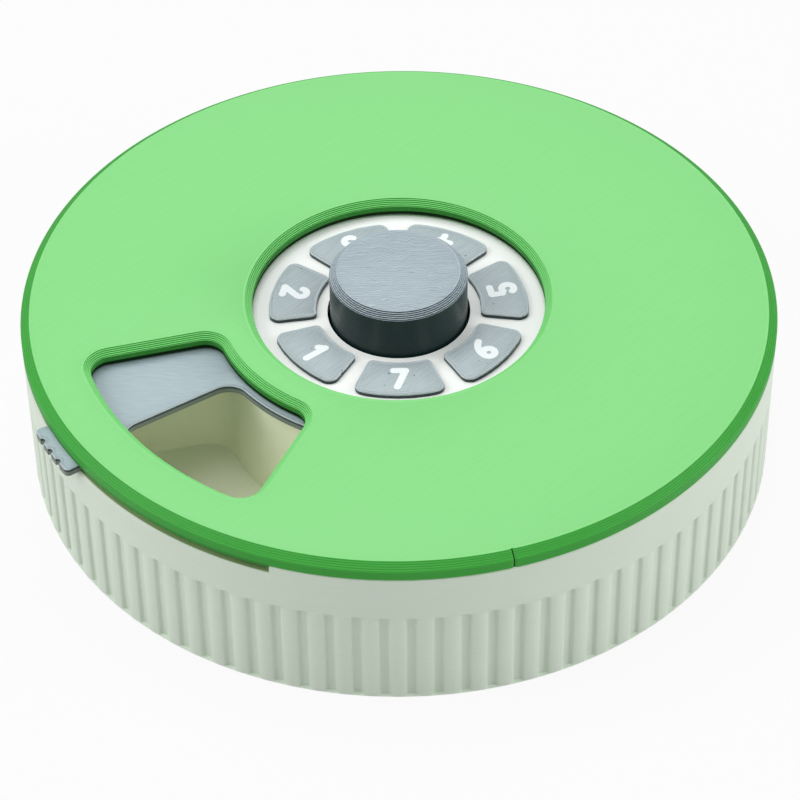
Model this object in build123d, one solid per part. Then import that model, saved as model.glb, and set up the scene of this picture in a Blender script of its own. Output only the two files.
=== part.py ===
from build123d import *
import math
import os

# Round seven-day pill box with a push button that turns the inner tray by one day.
# Millimetres and degrees. Z is up, the origin is the centre of the underside.

# Outside
days = 7
day_angle = 360 / days
outer_radius = 60.0
lid_top = 28.2
lid_thickness = 2.6
lid_bottom = lid_top - lid_thickness
button_top = 33.5

# Lid
lid_edge_round = 1.4
opening_edge_round = 1.2
hole_radius = 23.3
lid_lip_outer = 57.2
lid_lip_inner = 56.0
lid_lip_depth = 1.6

# Window in the lid, given at its straight wall under the rounded edge
window_start = 194.0
window_end = 245.1
window_middle = (window_start + window_end) / 2
window_half_angle = (window_end - window_start) / 2
window_inner = 29.6
window_outer = 50.7
window_corner = 3.3

# Base
wall_inner_radius = 57.4
floor_thickness = 1.6
flute_count = 92
flute_width = 1.8
flute_depth = 0.8
flute_top = 17.4
flute_phase = 1.2
ledge_inner = 54.6
ledge_top = 23.8
ledge_thickness = 1.4
rim_slot_bottom = 23.6
rim_slot_start = 186.5
rim_slot_end = 251.0
thrust_ring_inner = 38.0
thrust_ring_outer = 41.0
thrust_ring_top = 2.0

# Post in the middle of the base
boss_radius = 10.1
boss_top = 4.4
post_radius = 5.4
post_bore = 3.9
post_top = 16.0
key_slot_width = 2.2
key_slot_bottom = 5.6

# Shutter
shutter_bottom = 23.9
shutter_thickness = 1.4
shutter_top = shutter_bottom + shutter_thickness
shutter_inner = 25.5
shutter_outer = 55.7
shutter_opening_start = 212.2
shutter_opening_half = window_half_angle
shutter_opening_inner = 30.4
shutter_opening_outer = 51.6
shutter_opening_corner = 3.5
tab_outer = 62.1
tab_start = 205.5
tab_end = 215.7
tab_corner = 0.8
tab_notches = 3
tab_notch_step = 2.4
tab_notch_radius = 0.7

# Tray with one compartment for each day
tray_bottom = 2.1
tray_floor_top = 3.7
tray_top = 23.5
tray_outer = 54.0
tray_bore = 10.2
compartment_outer = 52.5
compartment_inner = 28.7
divider_thickness = 1.4
compartment_inner_corner = 5.0
compartment_outer_corner = 4.0
hub_wall_inner = 27.3
hub_wall_outer = 28.0
hub_ring_inner = 23.5
hub_ring_height = 1.5
window_day_angle = 270 - day_angle
detent_angle = 102.0
detent_notch_radius = 1.0
detent_notch_depth = 0.6
detent_low = 9.0
detent_high = 13.0

# Dial on the hub of the tray
dial_radius = 25.0
dial_bore = 11.4
dial_top = 25.1
dial_spigot_outer = 23.4
dial_spigot_inner = 21.9
dial_spigot_depth = 1.7
pad_height = 0.8
pad_inner = 13.1
pad_outer = 20.7
pad_half_angle = 21.2
pad_inner_corner = 1.0
pad_outer_corner = 1.6
numeral_radius = 17.0
numeral_height = 4.9
numeral_width = 3.0
numeral_stroke = 1.15
numeral_depth = 0.5
numeral_proud = 0.05

# Button
button_radius = 11.0
button_edge_round = 1.2
button_skirt_inner = 9.6
button_skirt_bottom = 18.5
button_crown = 1.6
button_travel = 6.0
stem_radius = 3.8
stem_bottom = 11.4
socket_radius = 5.6
socket_depth = 5.0
pin_radius = 1.0
pin_half_length = 8.9
pin_height = 13.0

# Index driver and its pawls
driver_inner = 5.5
driver_outer = 9.2
driver_bottom = 4.5
driver_top = 16.4
driver_slot_height = 4.0
driver_slot_clearance = 0.3
driver_slot_steps = 12
driver_slot_end_steps = 2
pawl_ring_outer = 10.4
pawl_bottom = 4.6
pawl_top = 7.6
pawl_width = 0.9
pawl_reach = 12.6
pawl_sweep = 36.0
pawl_lead = 0.45

# Ratchet ring in the hub
ratchet_outer = 17.0
ratchet_root = 15.2
ratchet_crest = 13.4
ratchet_top = 8.0

# Return spring
spring_radius = 2.9
spring_wire = 0.6
spring_turns = 6

# Detent leaf on the base
leaf_inner = 55.6
leaf_outer = 56.4
leaf_start = 76.0
leaf_end = 104.0
leaf_bump_radius = 0.8
leaf_gap = 0.15
leaf_block_end = 81.0

os.makedirs("parts", exist_ok=True)


def save(shape, name):
    """Write one piece to its own file."""
    export_step(shape, f"parts/{name}.step")


def polar(radius, angle, height=0.0):
    """A point from its radius, its angle about Z and its height."""
    turn = math.radians(angle)
    return Vector(radius * math.cos(turn), radius * math.sin(turn), height)


def disc(radius, low, high):
    """A solid disc between two heights."""
    return Pos(0, 0, low) * Cylinder(radius, high - low, align=(Align.CENTER, Align.CENTER, Align.MIN))


def ring(inner, outer, low, high):
    """A flat ring between two heights."""
    return disc(outer, low, high) - disc(inner, low - 1, high + 1)


def sector_corner(radius, half_angle, inset, side):
    """Where a sector's side, moved in by the inset, meets a circle."""
    ray = polar(1, side * half_angle)
    inward = Vector(side * ray.Y, -side * ray.X)
    return ray * math.sqrt(radius**2 - inset**2) + inward * inset


def sector(inner, outer, half_angle, inset=0.0, inner_corner=0.0, outer_corner=0.0):
    """A ring sector about +X, with its sides moved in by the inset and its corners rounded."""
    low_in = sector_corner(inner, half_angle, inset, -1)
    low_out = sector_corner(outer, half_angle, inset, -1)
    high_in = sector_corner(inner, half_angle, inset, 1)
    high_out = sector_corner(outer, half_angle, inset, 1)
    outline = Line(low_in, low_out)
    outline += ThreePointArc(low_out, (outer, 0), high_out)
    outline += Line(high_out, high_in)
    outline += ThreePointArc(high_in, (inner, 0), low_in)
    sketch = make_face(outline)
    if inner_corner:
        corners = sketch.vertices().sort_by(lambda point: Vector(point).length)
        sketch = fillet(corners[:2], inner_corner)
    if outer_corner:
        corners = sketch.vertices().sort_by(lambda point: Vector(point).length)
        sketch = fillet(corners[-2:], outer_corner)
    return sketch


def prism(sketch, low, high, angle=0.0):
    """A flat outline made into a solid between two heights, turned about Z."""
    return Rot(0, 0, angle) * Pos(0, 0, low) * extrude(sketch, high - low)


def block(inner, outer, start, end, low, high):
    """A plain ring sector between two angles and two heights."""
    return prism(sector(inner, outer, (end - start) / 2), low, high, (start + end) / 2)


def make_lid():
    plate = disc(outer_radius, lid_bottom, lid_top) - disc(hole_radius, lid_bottom - 1, lid_top + 1)
    outline = sector(window_inner, window_outer, window_half_angle, opening_edge_round,
                     window_corner, window_corner)
    plate -= prism(outline, lid_bottom - 1, lid_top + 1, window_middle)
    top = plate.faces().sort_by(Axis.Z)[-1]
    plate = fillet(top.outer_wire().edges(), lid_edge_round)
    top = plate.faces().sort_by(Axis.Z)[-1]
    openings = [edge for wire in top.inner_wires() for edge in wire.edges()]
    plate = fillet(openings, opening_edge_round)
    lip = ring(lid_lip_inner, lid_lip_outer, lid_bottom - lid_lip_depth, lid_bottom)
    margin = 2.0
    gap = block(lid_lip_inner - 1, lid_lip_outer + 1, rim_slot_start - margin, rim_slot_end + margin,
                lid_bottom - lid_lip_depth - 1, lid_bottom)
    save(plate + (lip - gap), "lid")


def make_base():
    shell = disc(outer_radius, 0, lid_bottom) - disc(wall_inner_radius, floor_thickness, lid_bottom + 1)
    groove = Rectangle(2 * flute_depth, flute_width)
    grooves = Sketch() + [place * groove for place in PolarLocations(outer_radius, flute_count, flute_phase)]
    shell -= prism(grooves, -1, flute_top)
    ledge_width = wall_inner_radius - ledge_inner
    ledge_bottom = ledge_top - ledge_thickness
    overlap = 0.5
    profile = Polyline(
        (ledge_inner, ledge_top),
        (wall_inner_radius + overlap, ledge_top),
        (wall_inner_radius + overlap, ledge_bottom - ledge_width),
        (wall_inner_radius, ledge_bottom - ledge_width),
        (ledge_inner, ledge_bottom),
        close=True,
    )
    shell += revolve(Plane.XZ * make_face(profile), Axis.Z)
    shell += ring(thrust_ring_inner, thrust_ring_outer, floor_thickness - overlap, thrust_ring_top)
    shell += disc(boss_radius, floor_thickness - overlap, boss_top)
    shell += disc(post_radius, boss_top - overlap, post_top)
    shell -= disc(post_bore, floor_thickness, post_top + 1)
    slot_height = post_top + 1 - key_slot_bottom
    shell -= Pos(0, 0, key_slot_bottom + slot_height / 2) * Box(2 * post_radius + 1, key_slot_width, slot_height)
    shell -= block(wall_inner_radius - 1, outer_radius + 1, rim_slot_start, rim_slot_end,
                   rim_slot_bottom, lid_bottom + 1)
    shell += block(leaf_outer, wall_inner_radius + overlap, leaf_start, leaf_block_end,
                   detent_low - overlap, detent_high + overlap)
    save(shell, "base_shell")


def make_detent_leaf():
    leaf = block(leaf_inner, leaf_outer, leaf_start, leaf_end, detent_low, detent_high)
    bump_centre = polar(tray_outer + leaf_gap + leaf_bump_radius, detent_angle, detent_low)
    bump = Pos(bump_centre) * Cylinder(leaf_bump_radius, detent_high - detent_low,
                                       align=(Align.CENTER, Align.CENTER, Align.MIN))
    save(leaf + bump, "detent_leaf")


def make_tray_hub():
    hub = disc(hub_wall_outer, tray_bottom, tray_top) - disc(tray_bore, tray_bottom - 1, tray_top + 1)
    hub -= disc(hub_wall_inner, tray_floor_top, tray_top + 1)
    overlap = 0.5
    flare = hub_wall_inner - hub_ring_inner
    profile = Polyline(
        (hub_ring_inner, tray_top),
        (hub_wall_inner + overlap, tray_top),
        (hub_wall_inner + overlap, tray_top - hub_ring_height - flare),
        (hub_wall_inner, tray_top - hub_ring_height - flare),
        (hub_ring_inner, tray_top - hub_ring_height),
        close=True,
    )
    hub += revolve(Plane.XZ * make_face(profile), Axis.Z)
    save(hub, "tray_hub")


def make_tray_segments():
    """One segment a day, each with its compartment, meeting in the middle of the dividers."""
    outline = sector(hub_wall_outer, tray_outer, day_angle / 2)
    pocket = sector(compartment_inner, compartment_outer, day_angle / 2, divider_thickness / 2,
                    compartment_inner_corner, compartment_outer_corner)
    cup = prism(outline, tray_bottom, tray_top) - prism(pocket, tray_floor_top, tray_top + 1)
    notch_centre = tray_outer + detent_notch_radius - detent_notch_depth
    notch_height = detent_high - detent_low + 1
    notch_angle = (detent_angle - window_day_angle + day_angle / 2) % day_angle - day_angle / 2
    notch_middle = polar(notch_centre, notch_angle, (detent_low + detent_high) / 2)
    cup -= Pos(notch_middle) * Cylinder(detent_notch_radius, notch_height)
    for number in range(1, days + 1):
        save(Rot(0, 0, window_day_angle - (number - 1) * day_angle) * cup, f"tray_segment_{number}")


def make_ratchet_ring():
    outline = Curve()
    for tooth in range(days):
        start = tooth * day_angle
        end = start + day_angle
        crest = polar(ratchet_crest, start)
        middle = polar((ratchet_crest + ratchet_root) / 2, (start + end) / 2)
        root = polar(ratchet_root, end)
        outline += ThreePointArc(crest, middle, root)
        outline += Line(root, polar(ratchet_crest, end))
    bore = prism(make_face(outline), tray_floor_top - 1, ratchet_top + 1)
    save(disc(ratchet_outer, tray_floor_top, ratchet_top) - bore, "ratchet_ring")


def make_dial_disc():
    disc_body = ring(dial_bore, dial_radius, tray_top, dial_top)
    spigot = ring(dial_spigot_inner, dial_spigot_outer, tray_top - dial_spigot_depth, tray_top)
    save(disc_body + spigot, "dial_disc")


def stroke(start, end):
    """One straight stroke with round ends, in parts of a numeral's width and height."""
    first = Vector(start[0] * numeral_width, start[1] * numeral_height)
    last = Vector(end[0] * numeral_width, end[1] * numeral_height)
    middle = (first + last) / 2
    along = last - first
    angle = math.degrees(math.atan2(along.Y, along.X))
    return Pos(middle.X, middle.Y) * Rot(0, 0, angle) * SlotCenterToCenter(along.length, numeral_stroke)


def bow(centre_height, radius, start, sweep, centre_side=0.0):
    """One round stroke with round ends, about a point on the numeral's middle line."""
    centre = Vector(centre_side, centre_height * numeral_height)
    path = CenterArc((centre.X, centre.Y), radius, start, sweep)
    return SlotArc(path, numeral_stroke)


def numeral_sketches():
    """The seven numerals, each about its own middle."""
    small = (numeral_height - numeral_stroke) / 4
    reach = (numeral_height - numeral_stroke) / 2 / numeral_height
    side = (numeral_width - numeral_stroke) / 2 / numeral_width
    upper = small / numeral_height
    slant = 0.6
    stem_side = 0.1
    neck_angle = 30
    neck_x = small * math.cos(math.radians(neck_angle)) / numeral_width
    neck_y = upper - small * math.sin(math.radians(neck_angle)) / numeral_height
    one = stroke((stem_side, -reach), (stem_side, reach)) + stroke((stem_side, reach), (-side * slant, reach * slant))
    two = bow(upper, small, -neck_angle, 200) + stroke((-side, -reach), (side, -reach))
    two += stroke((-side, -reach), (neck_x, neck_y))
    three = bow(upper, small, -90, 235) + bow(-upper, small, -145, 235)
    bar = -upper * slant
    bar_end = side * 1.3
    four = stroke((side * slant, -reach), (side * slant, reach)) + stroke((side * slant, reach), (-side, bar))
    four += stroke((-side, bar), (bar_end, bar))
    belly_top = 0.04
    belly = small * 1.04
    five = stroke((side, reach), (-side, reach)) + stroke((-side, reach), (-side, belly_top))
    five += bow(-upper, belly, -145, 260)
    loop = Circle(small + numeral_stroke / 2) - Circle(small - numeral_stroke / 2)
    tail = small * 3.2
    six = Pos(0, -small) * loop + bow(-upper, tail, 110, 70, tail - small)
    foot = -side * 0.4
    seven = stroke((-side, reach), (side, reach)) + stroke((side, reach), (foot, -reach))
    return [one, two, three, four, five, six, seven]


def make_pads_and_numerals():
    pad_outline = sector(pad_inner, pad_outer, pad_half_angle, 0, pad_inner_corner, pad_outer_corner)
    pad_top = dial_top + pad_height
    for number, sketch in enumerate(numeral_sketches(), start=1):
        angle = window_day_angle - (number - 1) * day_angle
        upright = Pos(numeral_radius, 0) * Rot(0, 0, 90) * sketch
        numeral = prism(upright, pad_top - numeral_depth, pad_top + numeral_proud, angle)
        pocket = prism(upright, pad_top - numeral_depth, pad_top + 1, angle)
        pad = prism(pad_outline, dial_top, pad_top, angle) - pocket
        save(pad, f"day_pad_{number}")
        save(numeral, f"numeral_{number}")


def make_shutter():
    plate = ring(shutter_inner, shutter_outer, shutter_bottom, shutter_top)
    opening = sector(shutter_opening_inner, shutter_opening_outer, shutter_opening_half,
                     0, shutter_opening_corner, shutter_opening_corner)
    plate -= prism(opening, shutter_bottom - 1, shutter_top + 1, shutter_opening_start + shutter_opening_half)
    tab_middle = (tab_start + tab_end) / 2
    tab = sector(shutter_outer - 1, tab_outer, (tab_end - tab_start) / 2, 0, 0, tab_corner)
    for notch in range(tab_notches):
        offset = (notch - (tab_notches - 1) / 2) * tab_notch_step
        tab -= Pos(polar(tab_outer, offset)) * Circle(tab_notch_radius)
    save(plate + prism(tab, shutter_bottom, shutter_top, tab_middle), "shutter_ring")


def make_button():
    cap = disc(button_radius, button_skirt_bottom, button_top)
    cap = fillet(cap.edges().sort_by(Axis.Z)[-1], button_edge_round)
    cap -= disc(button_skirt_inner, button_skirt_bottom - 1, button_top - button_crown)
    socket_top = button_top - button_crown
    cap += ring(stem_radius, socket_radius, socket_top - socket_depth, socket_top)
    save(cap, "button_cap")
    pin = Pos(0, 0, pin_height) * Rot(0, 90, 0) * Cylinder(pin_radius, 2 * pin_half_length)
    save(disc(stem_radius, stem_bottom, socket_top) - pin, "plunger_stem")
    save(pin, "cross_pin")


def slot_section(step):
    """The upright outline of the driver's slot at one step of the stroke."""
    share = step / driver_slot_steps
    angle = -share * day_angle
    height = pin_height - share * button_travel
    depth = driver_outer - driver_inner + 2
    middle = (driver_outer + driver_inner) / 2
    plane = Plane(origin=polar(middle, angle, height), x_dir=polar(1, angle), z_dir=polar(1, angle + 90))
    return plane * Rectangle(depth, driver_slot_height)


def make_driver():
    body = ring(driver_inner, driver_outer, driver_bottom, driver_top)
    slot = loft([slot_section(step) for step in range(driver_slot_steps + 1)], ruled=True)
    depth = driver_outer - driver_inner + 2
    middle = (driver_outer + driver_inner) / 2
    end = Rot(0, 90, 0) * Cylinder(pin_radius + driver_slot_clearance, depth)
    for step in range(driver_slot_end_steps):
        for share in (step / driver_slot_steps, 1 - step / driver_slot_steps):
            slot += Rot(0, 0, -share * day_angle) * Pos(middle, 0, pin_height - share * button_travel) * end
    body -= slot
    body -= Rot(0, 0, 180) * slot
    save(body, "index_driver")


def make_pawls():
    pawls = Circle(pawl_ring_outer) - Circle(driver_outer)
    inside = pawl_ring_outer - pawl_width / 2
    for arm in range(days):
        start = arm * day_angle + day_angle / 4
        path = ThreePointArc(polar(inside, start), polar((inside + pawl_reach) / 2, start + pawl_sweep * pawl_lead),
                             polar(pawl_reach, start + pawl_sweep))
        pawls += SlotArc(path, pawl_width)
    save(prism(pawls, pawl_bottom, pawl_top), "drive_pawls")


def make_return_spring():
    height = stem_bottom - floor_thickness - spring_wire
    coil = Helix(height / spring_turns, height, spring_radius)
    start = Plane(origin=coil @ 0, z_dir=coil % 0)
    wire = sweep(start * Circle(spring_wire / 2), coil)
    save(Pos(0, 0, floor_thickness + spring_wire / 2) * wire, "return_spring")


make_lid()
make_base()
make_detent_leaf()
make_tray_hub()
make_tray_segments()
make_ratchet_ring()
make_dial_disc()
make_pads_and_numerals()
make_shutter()
make_button()
make_driver()
make_pawls()
make_return_spring()
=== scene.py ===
import logging
import math
from dataclasses import dataclass
from enum import Enum
from typing import Any, Callable, Iterable, Optional, Sequence, Union

import bmesh
import bpy
from mathutils import Euler, Matrix, Vector, noise


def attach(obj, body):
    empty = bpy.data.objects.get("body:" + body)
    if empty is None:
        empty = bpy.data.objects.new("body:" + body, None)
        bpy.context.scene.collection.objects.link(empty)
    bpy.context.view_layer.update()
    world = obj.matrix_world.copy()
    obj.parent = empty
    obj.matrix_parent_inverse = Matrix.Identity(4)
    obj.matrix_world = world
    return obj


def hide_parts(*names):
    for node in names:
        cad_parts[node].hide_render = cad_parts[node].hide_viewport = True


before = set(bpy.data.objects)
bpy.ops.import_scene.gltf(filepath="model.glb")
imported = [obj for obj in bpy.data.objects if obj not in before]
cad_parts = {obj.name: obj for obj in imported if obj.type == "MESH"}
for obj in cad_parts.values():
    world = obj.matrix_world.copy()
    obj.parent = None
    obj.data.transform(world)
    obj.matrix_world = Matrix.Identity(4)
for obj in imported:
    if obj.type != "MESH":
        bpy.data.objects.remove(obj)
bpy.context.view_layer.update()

# Round seven-day pill box, printed in four plastics. Sizes below are millimetres and degrees.
MM = 0.001
DAYS = 7
DAY_ANGLE = 360 / DAYS
LAYER = 0.2
# How level a face is, from 0 to 1, before it counts as a tread
FLAT = 0.75
# Limit of the last band of an edge, which takes in the rest of it
REST_OF_EDGE = math.inf

log = logging.getLogger("pill_box")

Point = tuple[float, float]
Outline = list[Point]
Row = tuple[float, float]
Colour = tuple[int, int, int]

PIT_COLOUR: Colour = (40, 52, 56)
PIT_SHARE = 0.75


class Slot(Enum):
    """The record's material slots."""

    IVORY = "ivory_plastic"
    GREEN = "green_plastic"
    GREY = "grey_plastic"
    WHITE = "white_plastic"
    PIN = "steel_pin"
    SPRING = "spring_steel"


class Run(Enum):
    """How the printed lines lie on a surface."""

    LAYERS = "level lines up a wall"
    STRAIGHT = "straight lines on a flat face"
    RINGS = "rings about the middle"
    PADS = "lines round the edge of a day pad, straight ones inside"


def linear(colour: Colour) -> tuple[float, float, float, float]:
    """Turn a screen colour of 0 to 255 into Blender's linear one.

    Args:
        colour: red, green and blue as seen on a screen.

    Returns:
        The same colour, linear, with an alpha of 1.
    """
    def channel(level: int) -> float:
        share = level / 255
        return share / 12.92 if share <= 0.04045 else ((share + 0.055) / 1.055) ** 2.4

    red, green, blue = (channel(level) for level in colour)
    return (red, green, blue, 1.0)


class Signal:
    """One output socket, with the sums that a shader needs written as Python."""

    def __init__(self, shader: "Shader", socket: bpy.types.NodeSocket) -> None:
        """Keep the socket and the shader that it belongs to."""
        self.shader = shader
        self.socket = socket

    def math(self, operation: str, *others: "Number") -> "Signal":
        """Put this value and others through one Math node."""
        return self.shader.math(operation, self, *others)

    def __add__(self, other: "Number") -> "Signal":
        """This plus other."""
        return self.math("ADD", other)

    def __radd__(self, other: "Number") -> "Signal":
        """Other plus this."""
        return self.math("ADD", other)

    def __sub__(self, other: "Number") -> "Signal":
        """This less other."""
        return self.math("SUBTRACT", other)

    def __rsub__(self, other: "Number") -> "Signal":
        """Other less this."""
        return self.shader.math("SUBTRACT", other, self)

    def __mul__(self, other: "Number") -> "Signal":
        """This times other."""
        return self.math("MULTIPLY", other)

    def __rmul__(self, other: "Number") -> "Signal":
        """Other times this."""
        return self.math("MULTIPLY", other)

    def __truediv__(self, other: "Number") -> "Signal":
        """This over other."""
        return self.math("DIVIDE", other)

    def __rtruediv__(self, other: "Number") -> "Signal":
        """Other over this."""
        return self.shader.math("DIVIDE", other, self)

    def __pow__(self, other: "Number") -> "Signal":
        """This to the power of other."""
        return self.math("POWER", other)

    def __rpow__(self, other: "Number") -> "Signal":
        """Other to the power of this."""
        return self.shader.math("POWER", other, self)

    def __abs__(self) -> "Signal":
        """This without its sign."""
        return self.math("ABSOLUTE")


Number = Union[float, Signal]


class Shader:
    """One material's node tree, built by expressions."""

    def __init__(self, name: str) -> None:
        """Start a material with a Principled shader and nothing else."""
        self.material = bpy.data.materials.new(name)
        self.material.use_nodes = True
        self.tree = self.material.node_tree
        self.surface = self.tree.nodes["Principled BSDF"]

    def node(self, kind: str, settings: dict[str, Any], inputs: dict[Any, Any]) -> bpy.types.Node:
        """Add any node.

        Args:
            kind: the node's type.
            settings: the node's own options, set before its sockets.
            inputs: socket name or number, and the value or Signal it takes.

        Returns:
            The new node.
        """
        made = self.tree.nodes.new(kind)
        for name, value in settings.items():
            setattr(made, name, value)
        for key, value in inputs.items():
            self.feed(made.inputs[key], value)
        return made

    def feed(self, socket: bpy.types.NodeSocket, value: Any) -> None:
        """Link a Signal to a socket, or set its constant value."""
        if isinstance(value, Signal):
            self.tree.links.new(value.socket, socket)
        else:
            socket.default_value = value

    def math(self, operation: str, *values: Number) -> Signal:
        """Add one Math node on plain values and Signals."""
        made = self.node("ShaderNodeMath", {"operation": operation}, dict(enumerate(values)))
        return Signal(self, made.outputs[0])

    def mix(self, factor: Number, first: Any, second: Any) -> Signal:
        """Mix two colours.

        Args:
            factor: 0 for the first, 1 for the second.
            first: a linear colour or a Signal.
            second: a linear colour or a Signal.

        Returns:
            The mixed colour.
        """
        made = self.node("ShaderNodeMix", {"data_type": "RGBA"}, {0: factor, 6: first, 7: second})
        return Signal(self, made.outputs[2])

    def place(self) -> tuple[Signal, Signal, Signal]:
        """Give where a point is on the piece, in millimetres."""
        source = self.node("ShaderNodeTexCoord", {}, {})
        scaled = self.node("ShaderNodeVectorMath", {"operation": "SCALE"},
                           {0: Signal(self, source.outputs["Object"]), "Scale": 1 / MM})
        parts = self.node("ShaderNodeSeparateXYZ", {}, {0: Signal(self, scaled.outputs[0])})
        return tuple(Signal(self, parts.outputs[axis]) for axis in range(3))

    def grain(self, where: Sequence[Number], scale: float, detail: float = 2.0) -> Signal:
        """Give a smooth random value from about 0 to 1.

        Args:
            where: three values that say where to read the noise.
            scale: how many features there are in one unit.
            detail: how many finer layers are added.

        Returns:
            The noise's value.
        """
        joined = self.node("ShaderNodeCombineXYZ", {}, dict(enumerate(where)))
        made = self.node("ShaderNodeTexNoise", {},
                         {"Vector": Signal(self, joined.outputs[0]), "Scale": scale, "Detail": detail})
        return Signal(self, made.outputs[0])

    def bump(self, height: Signal, depth: float) -> Signal:
        """Turn a height from 0 to 1 into a bent normal.

        Args:
            height: the relief.
            depth: how many millimetres a height of 1 stands.

        Returns:
            The normal.
        """
        made = self.node("ShaderNodeBump", {}, {"Strength": 1.0, "Distance": depth * MM, "Height": height})
        return Signal(self, made.outputs[0])

    def dress(self, **sockets: Any) -> bpy.types.Material:
        """Feed the Principled shader's sockets, with _ for a space, and give the material."""
        for name, value in sockets.items():
            self.feed(self.surface.inputs[name.replace("_", " ")], value)
        return self.material


@dataclass(frozen=True)
class Printed:
    """One plastic as it lies on one kind of printed surface."""

    name: str
    colour: Colour
    groove: Colour
    run: Run
    pitch: float = LAYER
    direction: float = 0.0
    depth: float = 0.02
    wobble: float = 0.0
    streak: float = 0.5
    mottle: float = 0.06
    roughness: float = 0.5
    specular: float = 0.4
    length: float = 8.0
    pits: float = 0.0

    def across(self, shader: Shader, x: Signal, y: Signal, z: Signal) -> Signal:
        """Give the distance, in millimetres, across the printed lines."""
        if self.run is Run.LAYERS:
            return z
        radius = (x * x + y * y) ** 0.5
        if self.run is Run.RINGS:
            return radius
        turn = math.radians(self.direction)
        straight = y * math.cos(turn) - x * math.sin(turn)
        if self.run is Run.STRAIGHT:
            return straight
        return self.across_pad(shader, x, y, radius, straight)

    def across_pad(self, shader: Shader, x: Signal, y: Signal, radius: Signal, straight: Signal) -> Signal:
        """Give the distance across the lines of a day pad.

        Args:
            shader: the shader being built.
            x: place along X.
            y: place along Y.
            radius: distance from the middle of the box.
            straight: distance across the straight lines inside.

        Returns:
            Distance from the pad's edge near it, and across the straight lines further in.
        """
        angle = shader.math("ARCTAN2", y, x) - math.radians(270 - DAY_ANGLE)
        step = math.radians(DAY_ANGLE)
        local = abs(shader.math("FLOORED_MODULO", angle + step / 2, step) - step / 2)
        half = math.radians(DayPads.half_angle)
        side = radius * shader.math("SINE", half - local)
        ends = shader.math("MINIMUM", radius - DayPads.inner, DayPads.outer - radius)
        edge = shader.math("MINIMUM", side, ends)
        inside = shader.math("GREATER_THAN", edge, DayPads.border)
        return edge * (1 - inside) + straight * inside

    def material(self) -> bpy.types.Material:
        """Build the finish: beads of plastic side by side, streaks along them and a little wear."""
        shader = Shader(self.name)
        x, y, z = shader.place()
        across = self.across(shader, x, y, z)
        if self.wobble:
            slow = shader.grain((x, y, z), 0.55, 1.0)
            across = across + (slow - 0.5) * (2 * self.wobble)
        bead = abs(shader.math("SINE", across * (math.pi / self.pitch)))
        if self.run is Run.LAYERS:
            along = shader.grain((x / self.length, y / self.length, z * (1.1 / self.pitch)), 1.0)
        else:
            turn = math.radians(self.direction)
            ahead = x * math.cos(turn) + y * math.sin(turn)
            along = shader.grain((ahead / self.length, across * (1.1 / self.pitch), z), 1.0)
        cloud = shader.grain((x, y, z), 0.08, 3.0)
        speck = shader.grain((x, y, z), 2.6, 2.0)
        shade = bead * (1 - self.streak) + along * self.streak
        tone = shader.mix(shade, linear(self.groove), linear(self.colour))
        lift = 1 + 1.5 * self.mottle
        paler = tuple(min(1.0, level * lift) for level in linear(self.colour)[:3]) + (1.0,)
        colour = shader.mix(cloud * (6 * self.mottle), tone, paler)
        if self.pits:
            pit = shader.math("GREATER_THAN", shader.grain((x, y, z), 1.5, 0.0), self.pits)
            colour = shader.mix(pit * PIT_SHARE, colour, linear(PIT_COLOUR))
        rough = self.roughness + (along - 0.5) * 0.18 + (speck - 0.5) * 0.08
        relief = bead * 0.7 + along * 0.2 + speck * 0.1
        return shader.dress(Base_Color=colour, Roughness=rough, Normal=shader.bump(relief, self.depth),
                            Specular_IOR_Level=self.specular)


@dataclass(frozen=True)
class Steel:
    """Drawn or ground steel."""

    name: str
    colour: Colour
    roughness: float

    def material(self) -> bpy.types.Material:
        """Build the finish: fine draw lines and a few dull patches."""
        shader = Shader(self.name)
        x, y, z = shader.place()
        lines = shader.grain((x * 0.4, y * 9.0, z * 9.0), 1.0)
        patch = shader.grain((x, y, z), 0.6)
        base = linear(self.colour)
        dull = tuple(level * 0.72 for level in base[:3]) + (1.0,)
        rough = self.roughness + (lines - 0.5) * 0.2 + (patch - 0.5) * 0.1
        return shader.dress(Base_Color=shader.mix(patch * 0.5, base, dull), Metallic=1.0, Roughness=rough,
                            Normal=shader.bump(lines, 0.01))


# The lid's top takes a paler green than its walls: painted sheen of the light from above.
GREEN_TOP = Printed("green_top", (133, 213, 132), (127, 205, 125), Run.STRAIGHT, 0.42, 45.0, 0.005,
                    0.02, 0.75, 0.02, 0.52, 0.25)
# The lid's walls take a darker copy of the green: painted shade on the sides.
GREEN_WALL_PAINTED_SHADE = Printed("green_wall_painted_shade", (58, 166, 56), (28, 126, 28), Run.LAYERS, depth=0.02, roughness=0.45,
                     specular=0.3)
# Darker again: painted shade on the openings' lower walls and on the strip under the lid's edge.
GREEN_DEEP_PAINTED_SHADE = Printed("green_deep_painted_shade", (44, 137, 42), (27, 106, 27), Run.LAYERS, depth=0.02, roughness=0.5,
                     specular=0.2)
# The step treads take a green near the top's: painted sheen on their level faces.
GREEN_TREAD = Printed("green_tread", (125, 212, 123), (116, 205, 114), Run.STRAIGHT, 0.42, depth=0.01,
                      specular=0.2)
# Near black: painted shadow in the band under the openings' edges and along the seam.
GREEN_PAINTED_SHADOW = Printed("green_painted_shadow", (9, 36, 9), (4, 27, 4), Run.LAYERS, roughness=0.6, specular=0.1)
GREEN_UNDER = Printed("green_under", (105, 194, 102), (79, 170, 77), Run.RINGS, 0.42, depth=0.015)
IVORY_WALL = Printed("ivory_wall", (220, 231, 217), (204, 217, 200), Run.LAYERS, depth=0.01,
                     streak=0.6, roughness=0.48)
IVORY_FLAT = Printed("ivory_flat", (220, 231, 217), (207, 218, 201), Run.RINGS, 0.42, depth=0.012)
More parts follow.
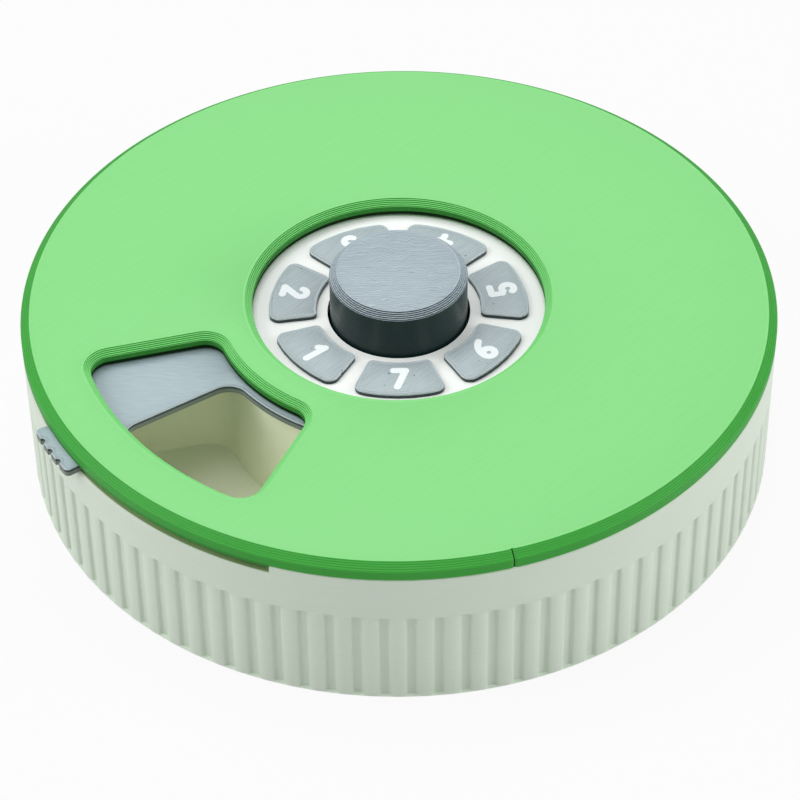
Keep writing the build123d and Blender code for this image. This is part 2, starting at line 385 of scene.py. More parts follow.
# The slot's floor takes a darker, greener ivory: painted shade and painted green light reflected from the
# lid.
IVORY_SLOT_PAINTED_SHADE = Printed("ivory_slot_painted_shade", (174, 201, 142), (155, 184, 124), Run.RINGS, 0.42, depth=0.012)
TRAY_IVORY = Printed("tray_ivory", (249, 254, 231), (241, 248, 218), Run.LAYERS, depth=0.012)
WHITE_DIAL = Printed("white_dial", (248, 252, 249), (241, 247, 242), Run.RINGS, 0.42, depth=0.008,
                     roughness=0.45)
WHITE_NUMERAL = Printed("white_numeral", (238, 244, 245), (224, 232, 234), Run.STRAIGHT, 0.4, 45.0, 0.01,
                        0.05)
# The grey tops of the button, shutter and pads are painted light: painted sheen on a plastic whose walls are
# painted nearly black.
GREY_TOP = Printed("grey_top", (175, 189, 196), (108, 124, 135), Run.STRAIGHT, 0.5, 2.0, 0.05, 0.75,
                   0.6, 0.05, 0.42, 0.5, 3.0)
GREY_SHUTTER = Printed("grey_shutter", (169, 186, 191), (131, 150, 158), Run.STRAIGHT, 0.42, -5.0, 0.012,
                       0.05, 0.85, 0.05, 0.42, 0.5, 2.2)
GREY_PAD = Printed("grey_pad", (185, 198, 201), (121, 135, 141), Run.PADS, 0.42, 45.0, 0.02, 0.22,
                   0.6, 0.05, 0.45, 0.5, 4.0, 0.83)
# Pure white: painted highlight along the top layer of the shutter's and the pads' edges.
GREY_PAINTED_HIGHLIGHT = Printed("grey_painted_highlight", (255, 255, 255), (247, 253, 250), Run.STRAIGHT, 0.42, depth=0.01)
# Nearly black: painted shade on the grey walls, a shaded copy of the grey tops.
GREY_WALL_PAINTED_SHADE = Printed("grey_wall_painted_shade", (19, 46, 46), (10, 27, 27), Run.LAYERS, depth=0.02, roughness=0.34,
                    specular=0.3)
# Olive grey: painted reflection of the ivory base at the foot of the shutter's edge.
GREY_PAINTED_REFLECTION = Printed("grey_painted_reflection", (127, 139, 125), (102, 114, 104), Run.LAYERS, depth=0.02, roughness=0.5)
GREY_PART = Printed("grey_part", (139, 153, 158), (104, 117, 123), Run.LAYERS, depth=0.015)
PIN_STEEL = Steel("pin_steel", (196, 198, 200), 0.25)
SPRING_WIRE = Steel("spring_wire", (170, 172, 176), 0.32)


def circle(radius: float, count: int) -> Outline:
    """Give a circle's points, counter-clockwise."""
    return [(radius * math.cos(turn), radius * math.sin(turn))
            for turn in (2 * math.pi * step / count for step in range(count))]


def arc(centre: Point, radius: float, start: float, end: float, count: int) -> Outline:
    """Give an arc's points, ends included, from one angle in radians to another."""
    turns = [start + (end - start) * step / (count - 1) for step in range(count)]
    return [(centre[0] + radius * math.cos(turn), centre[1] + radius * math.sin(turn)) for turn in turns]


def turned(points: Iterable[Point], angle: float) -> Outline:
    """Turn points about the middle by an angle in degrees."""
    cosine = math.cos(math.radians(angle))
    sine = math.sin(math.radians(angle))
    return [(x * cosine - y * sine, x * sine + y * cosine) for x, y in points]


def sector(inner: float, outer: float, half_angle: float, inset: float, inner_corner: float,
           outer_corner: float, middle: float, detail: int = 9) -> Outline:
    """Give a ring sector with rounded corners, counter-clockwise.

    Args:
        inner: radius of the inner arc.
        outer: radius of the outer arc.
        half_angle: half of the sector's angle.
        inset: how far each side is moved in from its ray.
        inner_corner: radius of the two corners on the inner arc.
        outer_corner: radius of the two corners on the outer arc.
        middle: angle of the sector's middle.
        detail: points on each corner.

    Returns:
        The outline's points.
    """
    half = math.radians(half_angle)
    far = outer - outer_corner
    near = inner + inner_corner
    far_turn = half - math.asin((inset + outer_corner) / far)
    near_turn = half - math.asin((inset + inner_corner) / near)
    spacing = 0.6
    far_count = max(4, int(2 * far_turn * outer / spacing))
    near_count = max(4, int(2 * near_turn * inner / spacing))
    far_corner = (far * math.cos(far_turn), far * math.sin(far_turn))
    near_corner = (near * math.cos(near_turn), near * math.sin(near_turn))
    square = half + math.pi / 2
    half_side = arc(far_corner, outer_corner, far_turn, square, detail)
    half_side += arc(near_corner, inner_corner, square, near_turn + math.pi, detail)
    mirrored = [(x, -y) for x, y in reversed(half_side)]
    outer_arc = arc((0, 0), outer, -far_turn, far_turn, far_count)[1:-1]
    inner_arc = arc((0, 0), inner, near_turn, -near_turn, near_count)[1:-1]
    return turned(outer_arc + half_side + inner_arc + mirrored, middle)


def shifted(points: Outline, distance: float) -> Outline:
    """Move a counter-clockwise outline outwards by a distance, or inwards by a negative one."""
    moved = []
    for index, (x, y) in enumerate(points):
        before = Vector(points[index - 1])
        after = Vector(points[(index + 1) % len(points)])
        here = Vector((x, y))
        arriving = (here - before).normalized()
        leaving = (after - here).normalized()
        along = (arriving + leaving).normalized()
        outwards = Vector((along.y, -along.x))
        stretch = 1 / max(0.5, along.dot(leaving))
        moved.append((x + outwards.x * distance * stretch, y + outwards.y * distance * stretch))
    return moved


def bead_rows(top: float, bottom: float, width: float, drop: float, sink: float = 0.03,
              rim: float = 0.45, fullness: float = 1.0, recess: float = 0.0, recess_height: float = 0.3,
              slant: float = 0.0) -> list[Row]:
    """Give the edge of a printed plate from its flat top down, one rounded bead a layer.

    Args:
        top: height of the plate's top.
        bottom: height of its underside.
        width: how far the rounded edge reaches in over the top.
        drop: how far the rounding reaches down.
        sink: how deep the groove between two layers is.
        rim: width of the bead that runs round the top face.
        fullness: 1 for a straight slope, 2 for a round edge.
        recess: how far the lowest part of the edge stands back.
        recess_height: how high that part is.
        slant: 0 for steps between the layers, 1 for a smooth slope.

    Returns:
        Pairs of inset and height.
    """
    shape = ((0.02, 0.5), (0.2, 0.1), (0.5, 0.0), (0.8, 0.3), (0.98, 1.0))
    count = max(1, round((top - bottom) / LAYER))
    height = (top - bottom) / count
    rows = []
    for layer in range(count):
        for index, (level, depth) in enumerate(shape):
            place = layer + 0.5 + (level - 0.5) * slant
            share = max(0.0, 1 - place * height / drop)
            inset = width * (1 - (1 - share ** fullness) ** (1 / fullness))
            if layer == 0 and index == 0:
                groove = 0.05
                rows += [(inset + rim + groove, top), (inset + rim, top - groove / 2),
                         (inset + rim - groove, top), (inset + 2 * sink, top)]
            rows.append((inset + sink * depth, top - (layer + level) * height))
    if recess:
        shelf = bottom + recess_height
        rows = [row for row in rows if row[1] > shelf] + [(0.0, shelf), (recess, shelf), (recess, bottom)]
    return rows


@dataclass(frozen=True)
class Paint:
    """Which material slots the parts of a printed plate take."""

    top: int = 0
    tread: int = 0
    bands: tuple[tuple[float, int], ...] = ((REST_OF_EDGE, 1),)
    under: int = 0

    def riser(self, depth: float) -> int:
        """Give the slot of the edge at a depth in millimetres below the top."""
        return next(slot for limit, slot in self.bands if depth <= limit)


class Maker:
    """Builds one closed mesh out of loops of points, in millimetres."""

    def __init__(self) -> None:
        """Start with an empty mesh."""
        self.mesh = bmesh.new()

    def loop(self, points: Outline, heights: Union[float, Sequence[float]]) -> list[bmesh.types.BMVert]:
        """Add a loop of points at one height, or each at its own."""
        levels = [heights] * len(points) if isinstance(heights, (int, float)) else heights
        return [self.mesh.verts.new((x * MM, y * MM, z * MM)) for (x, y), z in zip(points, levels)]

    def strip(self, first: list[bmesh.types.BMVert], second: list[bmesh.types.BMVert], slot: int = 0,
              level_slot: Optional[int] = None) -> None:
        """Join two loops of equal length with a band of faces.

        Args:
            first: one loop.
            second: the other loop.
            slot: material of the faces.
            level_slot: material of those that lie nearly flat, or the same.
        """
        for index in range(len(first)):
            after = (index + 1) % len(first)
            face = self.mesh.faces.new((first[index], first[after], second[after], second[index]))
            face.material_index = slot
            if level_slot is not None:
                face.normal_update()
                if abs(face.normal.z) > FLAT:
                    face.material_index = level_slot

    def cap(self, loops: Sequence[list[bmesh.types.BMVert]], slot: int = 0) -> None:
        """Fill the flat face between an outline and the openings in it."""
        edges = []
        for points in loops:
            for index, vertex in enumerate(points):
                pair = (vertex, points[index - 1])
                edges.append(self.mesh.edges.get(pair) or self.mesh.edges.new(pair))
        made = bmesh.ops.triangle_fill(self.mesh, use_beauty=True, use_dissolve=False, edges=edges)
        for item in made["geom"]:
            if isinstance(item, bmesh.types.BMFace):
                item.material_index = slot

    def edge(self, points: Outline, rows: Sequence[Row], side: int, paint: Paint,
             bend: Optional[Callable[[Outline, float], Outline]] = None) -> tuple[list, list]:
        """Add a printed edge round an outline.

        Args:
            points: the outline at its widest, counter-clockwise.
            rows: pairs of inset and height, from the top down.
            side: 1 where the plastic is inside the outline, -1 round an opening.
            paint: the materials.
            bend: changes a row's outline by its height, such as for a seam.

        Returns:
            The first and the last loop.
        """
        loops = []
        for inset, height in rows:
            row = shifted(points, -side * inset)
            loops.append(self.loop(bend(row, height) if bend else row, height))
        heights = [height for _, height in rows]
        for upper, lower, high, low in zip(loops, loops[1:], heights, heights[1:]):
            depth = heights[0] - (high + low) / 2
            if depth < LAYER / 4:
                self.strip(upper, lower, paint.top)
            else:
                self.strip(upper, lower, paint.riser(depth), paint.tread)
        return loops[0], loops[-1]

    def plate(self, outer: Outline, openings: Sequence[Outline], rows: Sequence[Row], paint: Paint = Paint(),
              opening_rows: Optional[Sequence[Row]] = None, opening_paint: Optional[Paint] = None,
              bend: Optional[Callable[[Outline, float], Outline]] = None) -> None:
        """Add a flat plate with printed edges.

        Args:
            outer: its outline.
            openings: outlines of what is cut through it.
            rows: its outer edge, as bead_rows gives it.
            paint: its materials.
            opening_rows: the edge of each opening, or the outer edge's.
            opening_paint: materials of each opening's edge, or the outer edge's.
            bend: changes the outer edge's rows.
        """
        edges = [self.edge(outer, rows, 1, paint, bend)]
        for opening in openings:
            edges.append(self.edge(opening, opening_rows or rows, -1, opening_paint or paint))
        self.cap([top for top, _ in edges], paint.top)
        self.cap([bottom for _, bottom in edges], paint.under)

    def touch_up(self, chosen: Callable[[float, float, float], bool], slot: int) -> None:
        """Give the faces at a chosen radius, angle in degrees and height another material."""
        for face in self.mesh.faces:
            x, y, z = face.calc_center_median() / MM
            if chosen(math.hypot(x, y), math.degrees(math.atan2(y, x)) % 360, z):
                face.material_index = slot

    def lathe(self, profile: Sequence[Row], count: int, slots: Sequence[int]) -> None:
        """Turn an open profile, whose two ends are on the axis, about Z.

        Args:
            profile: pairs of radius and height.
            count: points round the axis.
            slots: the material of each stretch of the profile.
        """
        loops = [self.loop(circle(radius, count), height) for radius, height in profile[1:-1]]
        for upper, lower, slot in zip(loops, loops[1:], slots[1:-1]):
            self.strip(upper, lower, slot, 0)
        ends = ((loops[0], profile[0], slots[0]), (loops[-1], profile[-1], slots[-1]))
        for points, (_, height), slot in ends:
            centre = self.mesh.verts.new((0, 0, height * MM))
            for index, vertex in enumerate(points):
                self.mesh.faces.new((centre, points[index - 1], vertex)).material_index = slot

    def done(self, name: str, materials: Sequence[bpy.types.Material],
             crease: float = 40.0) -> bpy.types.Object:
        """Close the mesh and make its object.

        Args:
            name: the piece's name.
            materials: its finishes, in slot order.
            crease: the angle above which an edge stays sharp.

        Returns:
            The new object.
        """
        bmesh.ops.remove_doubles(self.mesh, verts=self.mesh.verts, dist=0.002 * MM)
        bmesh.ops.recalc_face_normals(self.mesh, faces=self.mesh.faces)
        for edge in self.mesh.edges:
            edge.smooth = len(edge.link_faces) == 2 and edge.calc_face_angle(0.0) < math.radians(crease)
        for face in self.mesh.faces:
            face.smooth = True
        data = bpy.data.meshes.new(name)
        self.mesh.to_mesh(data)
        self.mesh.free()
        for material in materials:
            data.materials.append(material)
        piece = bpy.data.objects.new(name, data)
        bpy.context.scene.collection.objects.link(piece)
        return piece


def settle(piece: bpy.types.Object, body: str, slot: Slot, *nodes: str) -> None:
    """Let a piece ride on its body and stand for its nodes."""
    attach(piece, body)
    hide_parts(*nodes)
    log.info("%s: %d faces", piece.name, len(piece.data.polygons))


def repaint(node: str, material: bpy.types.Material) -> None:
    """Give a piece that is kept as constructed a better finish."""
    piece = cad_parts[node]
    piece.data.materials.clear()
    piece.data.materials.append(material)
    log.info("%s: new finish", node)


@dataclass
class Lid:
    """The green lid with its window and the hole for the dial."""

    radius: float = 60.0
    top: float = 28.2
    bottom: float = 25.6
    hole: float = 23.3
    edge_width: float = 1.5
    opening_width: float = 1.2
    edge_drop: float = 1.0
    recess: float = 0.08
    recess_height: float = 0.7
    shadow_strip: float = 0.24
    window_start: float = 194.0
    window_end: float = 245.1
    window_inner: float = 29.6
    window_outer: float = 50.7
    window_corner: float = 3.3
    lip_inner: float = 56.0
    lip_outer: float = 57.2
    lip_depth: float = 1.6
    lip_gap_start: float = 184.5
    lip_gap_end: float = 253.0
    seam_angle: float = 285.9
    seam_width: float = 0.3
    seam_depth: float = 0.16
    seam_half_angle: float = 0.08
    seam_step: float = 0.09
    seam_steps: int = 9
    rim_points: int = 480
    hole_points: int = 240

    def seam(self, points: Outline, height: float) -> Outline:
        """Press the mark where each layer starts into the outer edge."""
        middle = math.radians(self.seam_angle)
        shaken = 0.12 * noise.noise(Vector((height * 3.1, 0.7, 0.2)))
        moved = []
        for x, y in points:
            radius = math.hypot(x, y)
            turn = math.remainder(math.atan2(y, x) - middle, 2 * math.pi)
            away = (turn * self.radius - shaken) / self.seam_width
            dent = self.seam_depth * math.exp(-away * away)
            moved.append((x * (1 - dent / radius), y * (1 - dent / radius)))
        return moved

    def outline(self) -> Outline:
        """Give the outer circle, with extra points at the seam."""
        turns = [360 * step / self.rim_points for step in range(self.rim_points)]
        turns += [self.seam_angle + step * self.seam_step
                  for step in range(-self.seam_steps, self.seam_steps + 1)]
        return [(self.radius * math.cos(math.radians(turn)), self.radius * math.sin(math.radians(turn)))
                for turn in sorted(set(turns))]

    def build(self) -> None:
        """Make the lid."""
        maker = Maker()
        middle = (self.window_start + self.window_end) / 2
        window = sector(self.window_inner, self.window_outer, self.window_end - middle, self.opening_width,
                        self.window_corner, self.window_corner, middle)
        rows = bead_rows(self.top, self.bottom, self.edge_width, self.edge_drop, 0.02, slant=0.6)
        opening_rows = bead_rows(self.top, self.bottom, self.opening_width, self.edge_drop, 0.05,
                                 recess=self.recess, recess_height=self.recess_height)
        top, wall, under, shade, tread, deep = range(6)
        # The openings' upper walls take the darker green, their lower walls a darker one again, and a flush
        # band at the foot near black: painted shade and painted shadow.
        shaded = self.top - self.bottom - self.recess_height
        opening_bands = ((self.edge_drop, wall), (shaded, deep), (REST_OF_EDGE, shade))
        maker.plate(self.outline(), [circle(self.hole, self.hole_points), window], rows,
                    Paint(top, wall, ((REST_OF_EDGE, wall),), under), opening_rows,
                    Paint(top, tread, opening_bands, under), self.seam)
        # The seam's faces take the near-black green: painted shade along its dent.
        maker.touch_up(lambda radius, angle, height: radius > self.radius - self.edge_width
                       and abs(angle - self.seam_angle) < self.seam_half_angle, shade)
        lip_middle = (self.lip_gap_start + self.lip_gap_end) / 2 + 180
        lip_half = 180 - (self.lip_gap_end - self.lip_gap_start) / 2
        lip = sector(self.lip_inner, self.lip_outer, lip_half, 0.0, 0.3, 0.3, lip_middle, 4)
        maker.plate(lip, [], [(0.0, self.bottom + 0.3), (0.0, self.bottom - self.lip_depth + 0.2),
                              (0.2, self.bottom - self.lip_depth)],
                    Paint(wall, wall, ((REST_OF_EDGE, wall),), wall))
        # A strip hung below the lid's edge over the tab's slot, in the darker green: painted shadow of the
        # gap.
        shadow_strip = sector(self.radius - 1.2, self.radius, (self.lip_gap_end - self.lip_gap_start) / 2 - 2, 0.0,
                         0.1, 0.1, lip_middle - 180, 3)
        maker.plate(shadow_strip, [], [(0.0, self.bottom + 0.3), (0.0, self.bottom - self.shadow_strip)],
                    Paint(wall, deep, ((REST_OF_EDGE, deep),), deep))
        finishes = [finish.material() for finish in (GREEN_TOP, GREEN_WALL_PAINTED_SHADE, GREEN_UNDER, GREEN_PAINTED_SHADOW,
                                                     GREEN_TREAD, GREEN_DEEP_PAINTED_SHADE)]
        settle(maker.done("printed_lid", finishes), "lid_body", Slot.GREEN, "lid")


@dataclass
class Button:
    """The grey push button."""

    radius: float = 11.0
    top: float = 33.5
    skirt_bottom: float = 18.5
    skirt_inner: float = 9.6
    crown: float = 1.6
    edge_width: float = 1.2
    edge_drop: float = 1.0
    socket_outer: float = 5.6
    socket_inner: float = 3.8
    socket_depth: float = 5.0
    ring_depth: float = 1.2

    def build(self) -> None:
        """Make the cap, with one ring a layer on its rounded edge."""
        underside = self.top - self.crown
        rows = bead_rows(self.top, self.top - self.ring_depth, self.edge_width, self.edge_drop, 0.07, 0.42)
        profile = [(0.0, self.top)]
        profile += [(self.radius - inset, height) for inset, height in rows]
        profile += [(self.radius, self.skirt_bottom + 0.2), (self.radius - 0.2, self.skirt_bottom),
                    (self.skirt_inner, self.skirt_bottom), (self.skirt_inner, underside),
                    (self.socket_outer, underside), (self.socket_outer, underside - self.socket_depth),
                    (self.socket_inner, underside - self.socket_depth), (self.socket_inner, underside),
                    (0.0, underside)]
        # The cap's top takes the light grey and its walls the nearly black grey: painted sheen and painted
        # shade.
        top_stretches = 4
        slots = [0] * top_stretches + [1] * (len(profile) - 1 - top_stretches)
        maker = Maker()
        maker.lathe(profile, 192, slots)
        finishes = [GREY_TOP.material(), GREY_WALL_PAINTED_SHADE.material()]
        settle(maker.done("printed_button_cap", finishes), "button", Slot.GREY, "button_cap")
        repaint("plunger_stem", GREY_PART.material())
        repaint("cross_pin", PIN_STEEL.material())


@dataclass
class Shutter:
    """The grey ring that opens and shuts the window, with its finger tab."""

    bottom: float = 23.9
    top: float = 25.3
    inner: float = 25.5
    outer: float = 55.7
    opening_start: float = 212.2
    opening_half: float = 25.55
    opening_inner: float = 30.4
    opening_outer: float = 51.6
    opening_corner: float = 3.5
    tab_outer: float = 62.1
    tab_start: float = 205.5
    tab_end: float = 215.4
    tab_corner: float = 0.8
    notches: int = 3
    notch_step: float = 2.4
    notch_radius: float = 0.55
    painted_highlight_depth: float = 0.22
    painted_shade_depth: float = 0.62

    def outline(self) -> Outline:
        """Give the ring's outer edge with the notched tab on it."""
        half = (self.tab_end - self.tab_start) / 2
        middle = (self.tab_start + self.tab_end) / 2
        far = self.tab_outer - self.tab_corner
        corner_turn = math.radians(half) - math.asin(self.tab_corner / far)
        corner = (far * math.cos(corner_turn), far * math.sin(corner_turn))
        square = math.radians(half) + math.pi / 2
        upper = arc(corner, self.tab_corner, square, corner_turn, 7)
        points = [(x, -y) for x, y in upper]
        for notch in range(self.notches):
            offset = math.radians((notch - (self.notches - 1) / 2) * self.notch_step)
            centre = (self.tab_outer * math.cos(offset), self.tab_outer * math.sin(offset))
            points += arc(centre, self.notch_radius, offset - math.pi / 2, offset - 3 * math.pi / 2, 9)
        points += list(reversed(upper))
        rest = arc((0, 0), self.outer, math.radians(half), 2 * math.pi - math.radians(half), 360)
        return turned(points + rest, middle)

    def build(self) -> None:
        """Make the shutter."""
        maker = Maker()
        opening = sector(self.opening_inner, self.opening_outer, self.opening_half, 0.0, self.opening_corner,
                         self.opening_corner, self.opening_start + self.opening_half)
        rows = bead_rows(self.top, self.bottom, 0.15, 0.3, 0.025, 0.4)
        # Down the edge: a painted highlight on the top layer, painted shade below it, and a painted
        # reflection of the ivory at the foot.
        wall, rim, foot = range(1, 4)
        paint = Paint(bands=((self.painted_highlight_depth, rim), (self.painted_shade_depth, wall), (REST_OF_EDGE, foot)))
        maker.plate(self.outline(), [circle(self.inner, 220), opening], rows, paint)
        finishes = [finish.material() for finish in (GREY_SHUTTER, GREY_WALL_PAINTED_SHADE, GREY_PAINTED_HIGHLIGHT, GREY_PAINTED_REFLECTION)]
        settle(maker.done("printed_shutter", finishes), "shutter", Slot.GREY, "shutter_ring")


@dataclass
class DayPads:
    """The seven grey pads on the dial, and the numerals in them."""

    inner: float = 13.1
    outer: float = 20.7
    half_angle: float = 21.2
    inner_corner: float = 1.0
    outer_corner: float = 1.6
    bottom: float = 25.1
    top: float = 25.9
    border: float = 0.84
    unevenness: float = 0.05
    painted_highlight_depth: float = 0.22

    def uneven(self, points: Outline, number: int) -> Outline:
        """Make an outline wander a little, as molten plastic does."""
        moved = []
        for x, y in points:
            push = 1 + self.unevenness * noise.noise(Vector((x * 0.9, y * 0.9, number))) / math.hypot(x, y)
            moved.append((x * push, y * push))
        return moved

    def build(self) -> None:
        """Make the pads and dress the numerals."""
        finishes = [GREY_PAD.material(), GREY_WALL_PAINTED_SHADE.material(), GREY_PAINTED_HIGHLIGHT.material()]
        white = WHITE_NUMERAL.material()
        wall, rim = range(1, 3)
        # A painted highlight on the top layer of each pad's edge, painted shade down the rest.
        paint = Paint(bands=((self.painted_highlight_depth, rim), (REST_OF_EDGE, wall)))
        rows = bead_rows(self.top, self.bottom, 0.16, 0.3, 0.03, 0.4)
        for number in range(1, DAYS + 1):
            angle = 270 - DAY_ANGLE * number
            outline = sector(self.inner, self.outer, self.half_angle, 0.0, self.inner_corner,
                             self.outer_corner, angle, 7)
            maker = Maker()
            maker.plate(self.uneven(outline, number), [], rows, paint)
            pad = maker.done(f"printed_day_pad_{number}", finishes)
            settle(pad, "carousel", Slot.GREY, f"day_pad_{number}")
            repaint(f"numeral_{number}", white)


@dataclass
class Base:
    """The ivory base with its fluted wall and the post in its middle."""

    radius: float = 60.0
    wall_inner: float = 57.4
    top: float = 25.6
    floor: float = 1.6
    flutes: int = 92
    flute_half_width: float = 0.95
    flute_arch: float = 0.9
    flute_depth: float = 0.48
    rib_rounding: float = 0.15
    flute_top: float = 17.4
    flute_phase: float = 1.2
    foot: float = 0.15
    rim: float = 0.35
    ledge_inner: float = 54.6
    ledge_top: float = 23.8
    ledge_bottom: float = 22.4
    slot_bottom: float = 23.86
    slot_start: float = 186.5
    slot_end: float = 251.0
    slot_inner: float = 56.4
    thrust_inner: float = 38.0
    thrust_outer: float = 41.0
    thrust_top: float = 2.0
    boss: float = 10.1
    boss_top: float = 4.4
    post: float = 5.4
    bore: float = 3.9
    post_top: float = 16.0
    key_half_width: float = 1.1
    key_bottom: float = 5.6
    band_middle: float = 22.0
    wall_rows: int = 20
    crease: float = 32.0

    def flute(self, across: float, height: float) -> float:
        """Give how deep a flute is.

        Args:
            across: distance from the flute's middle line.
            height: height above the underside.

        Returns:
            The depth of the flute at that place.
        """
        above = max(0.0, height - (self.flute_top - self.flute_arch)) / self.flute_arch
        away = ((abs(across) / self.flute_half_width) ** 3 + above ** 3) ** (1 / 3)
        share = min(1.0, max(0.0, (away - 0.55) / 0.45))
        foot = min(1.0, max(0.0, (height - self.foot) / self.foot))
        half_pitch = math.pi * self.radius / self.flutes
        rounding = self.rib_rounding * (half_pitch - max(abs(across), self.flute_half_width)) ** 2
        rounding *= 1 - min(1.0, above) ** 3
        return foot * (rounding + self.flute_depth * (1 - share * share * (3 - 2 * share)))

    def columns(self) -> list[tuple[float, float, bool]]:
        """Give each upright line of the wall: its angle, place across a flute, and if it is in the slot."""
        side = (0.28, 0.52, 0.62, 0.72, 0.82, 0.92, 1.0, 1.15, 1.35, 1.6, 1.9)
        steps = [-step for step in reversed(side)] + [0.0] + list(side)
        pitch = 360 / self.flutes
        found = []
        for flute in range(self.flutes):
            middle = self.flute_phase + flute * pitch
            for step in steps:
                across = step * self.flute_half_width
                angle = (middle + math.degrees(across / self.radius)) % 360
                found.append((angle, across, self.slot_start < angle < self.slot_end))
        for angle in (self.slot_start, self.slot_end):
            across = math.remainder(angle - self.flute_phase, pitch) * math.radians(self.radius)
            found += [(angle, across, False), (angle, across, True)]
        order = {self.slot_start: 1, self.slot_end: -1}
        return sorted(found, key=lambda column: (column[0], order.get(column[0], 1) * column[2]))

    def profile(self, across: float, in_slot: bool) -> list[Row]:
        """Give the wall's section from the underside's edge round to the floor's inner ring.

        Args:
            across: distance from the nearest flute's middle line.
            in_slot: whether the section cuts the slot for the shutter's tab.

        Returns:
            Pairs of radius and height.
        """
        top = self.slot_bottom if in_slot else self.top
        shelf = self.slot_inner if in_slot else self.wall_inner
        heights = (0.0, 0.15, 0.2, 0.25, 0.3, 4.0, 8.0, 12.0, 15.0,
                   16.3, 16.6, 16.8, 17.0, 17.15, 17.3, 17.45, 17.6, 18.0)
        foot = {0.0: 0.2, 0.15: 0.05}
        rows = [(self.radius - self.flute(across, height) - foot.get(height, 0.0), height)
                for height in heights]
        rows += [(self.radius, self.band_middle), (self.radius, top - self.rim),
                 (self.radius - self.rim, top), (shelf + 0.1, top), (shelf, top if in_slot else top - 0.1),
                 (shelf, self.ledge_top), (self.ledge_inner, self.ledge_top),
                 (self.ledge_inner, self.ledge_bottom),
                 (self.wall_inner, self.ledge_bottom + self.ledge_inner - self.wall_inner),
                 (self.wall_inner, self.floor), (self.thrust_outer, self.floor),
                 (self.thrust_outer, self.thrust_top), (self.thrust_inner, self.thrust_top),
                 (self.thrust_inner, self.floor), (self.boss, self.floor), (self.boss, self.boss_top),
                 (self.post, self.boss_top), (self.post, self.key_bottom), (self.bore, self.key_bottom),
                 (self.bore, self.floor)]
        return rows

    def build(self) -> None:
        """Make the base and dress what is fixed to it."""
        maker = Maker()
        columns = self.columns()
        sections = [self.profile(across, in_slot) for _, across, in_slot in columns]
        wall, flat, slot = range(3)
        loops = []
        for row in range(len(sections[0])):
            points = [(section[row][0] * math.cos(math.radians(angle)),
                       section[row][0] * math.sin(math.radians(angle)))
                      for section, (angle, _, _) in zip(sections, columns)]
            loops.append(maker.loop(points, [section[row][1] for section in sections]))
        for index, (lower, upper) in enumerate(zip(loops, loops[1:])):
            maker.strip(lower, upper, wall if index < self.wall_rows else flat)
        maker.cap([loops[0]], flat)
        maker.cap([loops[-1]], flat)
        for middle in (90.0, 270.0):
            half_post = sector(self.bore, self.post, 90.0, self.key_half_width, 0.1, 0.1, middle, 3)
            maker.plate(half_post, [], [(0.1, self.post_top), (0.0, self.post_top - 0.1),
                                        (0.0, self.key_bottom - 0.1)],
                        Paint(flat, wall, ((REST_OF_EDGE, wall),), flat))
        # The slot's faces take the darker, greener ivory: painted shade and painted green light from the lid.
        maker.touch_up(lambda radius, angle, height: self.slot_start < angle < self.slot_end
                       and self.slot_inner - 0.1 < radius < self.radius - 0.2
                       and height > self.slot_bottom - 0.3, slot)
        finishes = [IVORY_WALL.material(), IVORY_FLAT.material(), IVORY_SLOT_PAINTED_SHADE.material()]
        settle(maker.done("printed_base", finishes, self.crease), "base", Slot.IVORY, "base_shell")
        repaint("detent_leaf", IVORY_WALL.material())
        repaint("return_spring", SPRING_WIRE.material())


@dataclass
class Carousel:
    """The tray with its dial, and the works under it."""

    segments: int = DAYS

    def build(self) -> None:
        """Dress the tray, the dial and the works."""
        ivory = TRAY_IVORY.material()
        for node in ["tray_hub"] + [f"tray_segment_{number}" for number in range(1, self.segments + 1)]:
            repaint(node, ivory)
        repaint("dial_disc", WHITE_DIAL.material())
        repaint("ratchet_ring", GREY_PART.material())
        repaint("drive_pawls", GREY_PART.material())
        repaint("index_driver", IVORY_WALL.material())


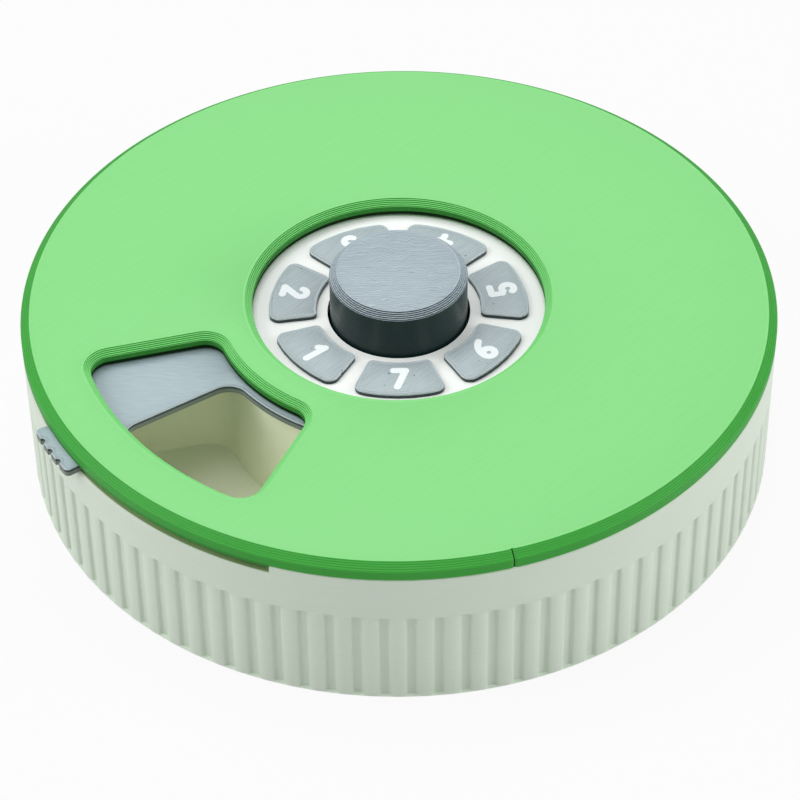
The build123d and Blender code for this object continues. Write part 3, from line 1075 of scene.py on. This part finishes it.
@dataclass
class Studio:
    """The floor, the soft light and the camera."""

    distance: float = 380.93
    height: float = 361.71
    pitch: float = 43.08
    roll: float = 0.73
    lens: float = 143.35
    ambient: float = 0.35
    floor_size: float = 6.0
    floor_colour: Colour = (214, 215, 214)
    floor_glow: float = 0.9

    def floor(self) -> None:
        """Lay a plain pale floor that turns white in the picture and keeps its shadow."""
        maker = Maker()
        half = self.floor_size / MM / 2
        corners = maker.loop([(-half, -half), (half, -half), (half, half), (-half, half)], 0.0)
        maker.mesh.faces.new(corners)
        shader = Shader("studio_floor")
        shader.dress(Base_Color=linear(self.floor_colour), Roughness=0.9, Specular_IOR_Level=0.1)
        paths = shader.node("ShaderNodeLightPath", {}, {})
        seen = shader.math("MAXIMUM", Signal(shader, paths.outputs["Is Camera Ray"]),
                           Signal(shader, paths.outputs["Is Glossy Ray"]))
        seen = shader.math("MAXIMUM", seen, Signal(shader, paths.outputs["Is Transmission Ray"]))
        glow = shader.node("ShaderNodeEmission", {}, {"Color": (1, 1, 1, 1), "Strength": 1.0})
        both = shader.node("ShaderNodeMixShader", {}, {0: seen * self.floor_glow,
                                                       1: Signal(shader, shader.surface.outputs[0]),
                                                       2: Signal(shader, glow.outputs[0])})
        output = shader.tree.nodes["Material Output"]
        shader.tree.links.new(both.outputs[0], output.inputs["Surface"])
        maker.done("floor", [shader.material])

    def world(self) -> None:
        """Light the room evenly, with white where the camera or a reflection looks at it."""
        world = bpy.data.worlds.new("studio")
        world.use_nodes = True
        bpy.context.scene.world = world
        nodes = world.node_tree.nodes
        links = world.node_tree.links
        paths = nodes.new("ShaderNodeLightPath")
        seen = paths.outputs["Is Camera Ray"]
        for kind in ("Is Glossy Ray", "Is Transmission Ray"):
            either = nodes.new("ShaderNodeMath")
            either.operation = "MAXIMUM"
            links.new(seen, either.inputs[0])
            links.new(paths.outputs[kind], either.inputs[1])
            seen = either.outputs[0]
        strength = nodes.new("ShaderNodeMapRange")
        strength.inputs["To Min"].default_value = self.ambient
        strength.inputs["To Max"].default_value = 1.0
        links.new(seen, strength.inputs["Value"])
        links.new(strength.outputs[0], nodes["Background"].inputs["Strength"])
        nodes["Background"].inputs["Color"].default_value = (1, 1, 1, 1)

    def softbox(self, name: str, azimuth: float, elevation: float, distance: float, size: float,
                energy: float) -> None:
        """Hang one square soft light that looks at the box.

        Args:
            name: the light's name.
            azimuth: where it hangs, in degrees from +X towards +Y.
            elevation: how high it hangs, in degrees above the floor.
            distance: metres from the box.
            size: metres along a side.
            energy: watts.
        """
        data = bpy.data.lights.new(name, "AREA")
        data.size = size
        data.energy = energy
        lamp = bpy.data.objects.new(name, data)
        turn = math.radians(azimuth)
        rise = math.radians(elevation)
        towards = Vector((math.cos(turn) * math.cos(rise), math.sin(turn) * math.cos(rise), math.sin(rise)))
        lamp.location = towards * distance
        lamp.rotation_euler = towards.to_track_quat("Z", "Y").to_euler()
        bpy.context.scene.collection.objects.link(lamp)

    def camera(self) -> None:
        """Put the camera at the photograph's viewing angle."""
        data = bpy.data.cameras.new("camera")
        data.lens = self.lens
        data.sensor_width = 36.0
        camera = bpy.data.objects.new("camera", data)
        facing = Euler((math.radians(90 - self.pitch), 0, 0)).to_matrix()
        facing = facing @ Matrix.Rotation(-math.radians(self.roll), 3, "Z")
        camera.rotation_euler = facing.to_euler()
        camera.location = (0, -self.distance * MM, self.height * MM)
        bpy.context.scene.collection.objects.link(camera)
        bpy.context.scene.camera = camera

    def build(self) -> None:
        """Set up the studio."""
        self.floor()
        self.world()
        self.softbox("back_softbox", 112, 71, 1.5, 0.9, 8.9)
        self.softbox("top_softbox", 275, 76, 1.5, 0.5, 2.8)
        self.softbox("left_softbox", 184, 35, 1.5, 0.9, 9.3)
        self.softbox("right_softbox", 350, 22, 1.5, 0.9, 9.3)
        self.camera()
        bpy.context.scene.view_settings.view_transform = "Standard"


def main() -> None:
    """Build the studio and every sub-assembly."""
    logging.basicConfig(level=logging.INFO, format="%(message)s")
    for part in (Studio(), Base(), Carousel(), DayPads(), Shutter(), Lid(), Button()):
        log.info("building %s", type(part).__name__)
        part.build()


if __name__ == "__main__":
    main()
